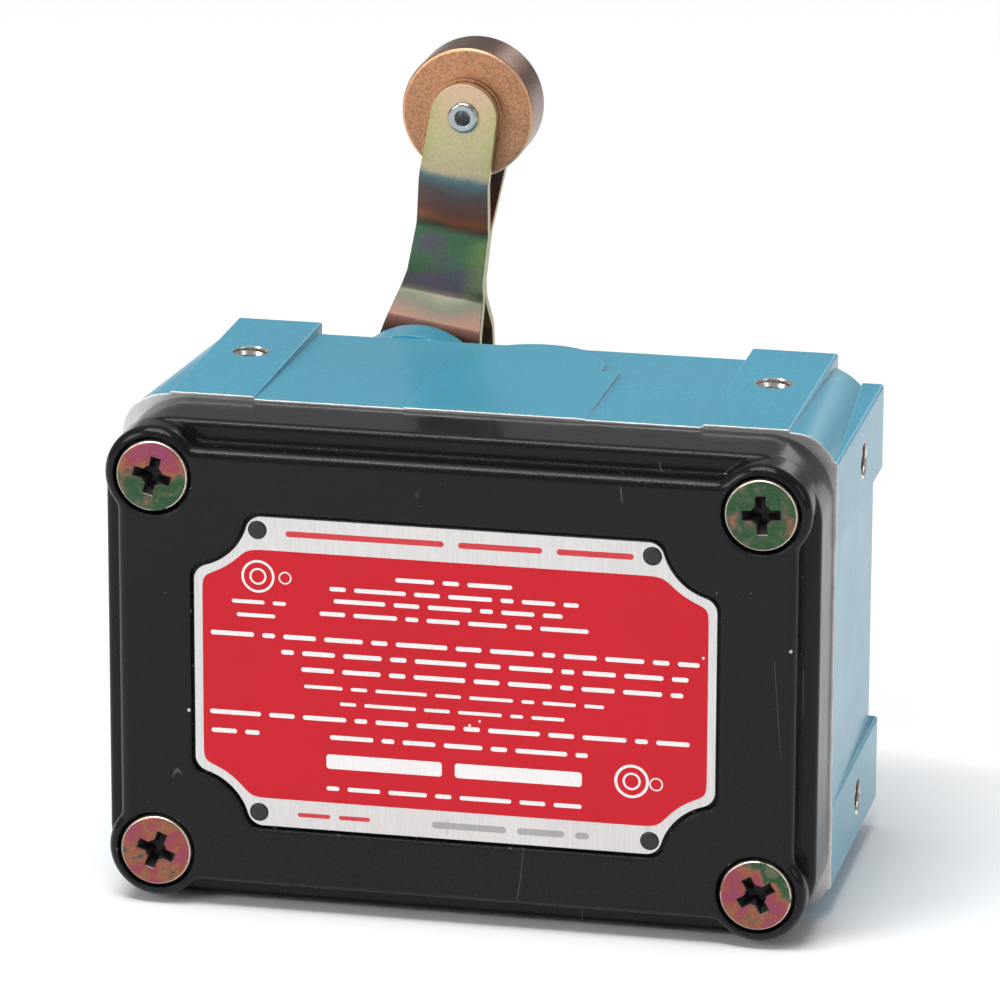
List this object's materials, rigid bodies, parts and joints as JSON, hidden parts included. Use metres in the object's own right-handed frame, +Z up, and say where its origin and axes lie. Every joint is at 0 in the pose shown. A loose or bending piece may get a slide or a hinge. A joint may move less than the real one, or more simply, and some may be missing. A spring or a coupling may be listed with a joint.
{
  "type": "limit switch",
  "caption": "Enclosed snap-action limit switch: cast box with a screwed cover, and a forked roller lever on a shaft through its back wall.",
  "frame": {"origin": "midway between the two tapped holes in the bottom pads, on the pads' face", "axes": "+X to the right seen from the cover, +Y from the cover towards the lever, +Z up"},
  "size_m": [0.1002, 0.0767, 0.109],
  "materials": {
    "housing_paint": "gloss teal enamel over cast aluminium",
    "cover_paint": "gloss black enamel over cast aluminium",
    "chromate_screw": "zinc plated steel with iridescent yellow chromate",
    "nameplate_metal": "brushed aluminium with a printed red field",
    "pin_black": "blackened steel",
    "bushing_bronze": "machined bronze",
    "seal_rubber": "black nitrile",
    "shaft_steel": "ground stainless steel",
    "ring_steel": "steel",
    "hub_steel": "zinc plated steel",
    "chromate_plate": "stamped steel, iridescent yellow chromate",
    "zinc": "bright zinc",
    "roller_bronze": "sintered bronze, matt and speckled",
    "cam_steel": "hardened steel",
    "black_oxide": "black oxide",
    "spring_wire": "music wire",
    "phenolic": "moulded phenolic",
    "plunger_plastic": "moulded plastic",
    "contact_copper": "beryllium copper with silver contact",
    "terminal_brass": "brass",
    "ground_green": "green passivated steel"
  },
  "bodies": {
    "enclosure": {"housing": "housing_paint", "cover": "cover_paint", "cover_screws": "chromate_screw", "nameplate": "nameplate_metal", "nameplate_pins": "pin_black", "shaft_bushing": "bushing_bronze", "shaft_seal": "seal_rubber", "spring_anchor_pin": "ring_steel", "switch_bracket": "zinc", "bracket_screws": "zinc", "switch_case": "phenolic", "switch_case_cover": "phenolic", "common_terminal": "terminal_brass", "normally_closed_terminal": "terminal_brass", "normally_open_terminal": "terminal_brass", "terminal_screws": "zinc", "switch_screws": "zinc", "ground_screw": "ground_green"},
    "lever": {"actuator_shaft": "shaft_steel", "shaft_retaining_ring": "ring_steel", "lever_hub": "hub_steel", "lever_front_plate": "chromate_plate", "lever_rear_plate": "chromate_plate", "hub_lock_washer": "zinc", "hub_nut": "zinc", "roller_rivet": "zinc", "cam": "cam_steel", "cam_set_screw": "black_oxide", "return_spring": "spring_wire"},
    "roller_wheel": {"roller": "roller_bronze"},
    "plunger": {"switch_plunger": "plunger_plastic"},
    "blade": {"snap_blade": "contact_copper"}
  },
  "joints": [
    {"name": "lever_swing", "type": "hinge", "parent": "enclosure", "child": "lever", "pos_m": [-0.0182, 0.03, 0.05813], "axis": [0, 1, 0], "range_deg": [0, 50], "stiffness_Nm_per_rad": 0.12, "springref_deg": -22.92, "deforming": ["return_spring"]},
    {"name": "roller_spin", "type": "hinge", "parent": "lever", "child": "roller_wheel", "pos_m": [-0.01188, 0.03, 0.09944], "axis": [0, 1, 0], "continuous": true},
    {"name": "plunger_slide", "type": "slide", "parent": "enclosure", "child": "plunger", "axis": [0, 0, -1], "range_m": [0, 0.00125]},
    {"name": "blade_tilt", "type": "hinge", "parent": "enclosure", "child": "blade", "pos_m": [0.0157, -0.00287, 0.03993], "axis": [0, 1, 0], "range_deg": [-2.2, 0]}
  ],
  "couplings": [
    {"joint": "plunger_slide", "follows": "lever_swing", "m_per_rad": 0.0013751},
    {"joint": "blade_tilt", "follows": "lever_swing", "ratio": -0.040563}
  ]
}
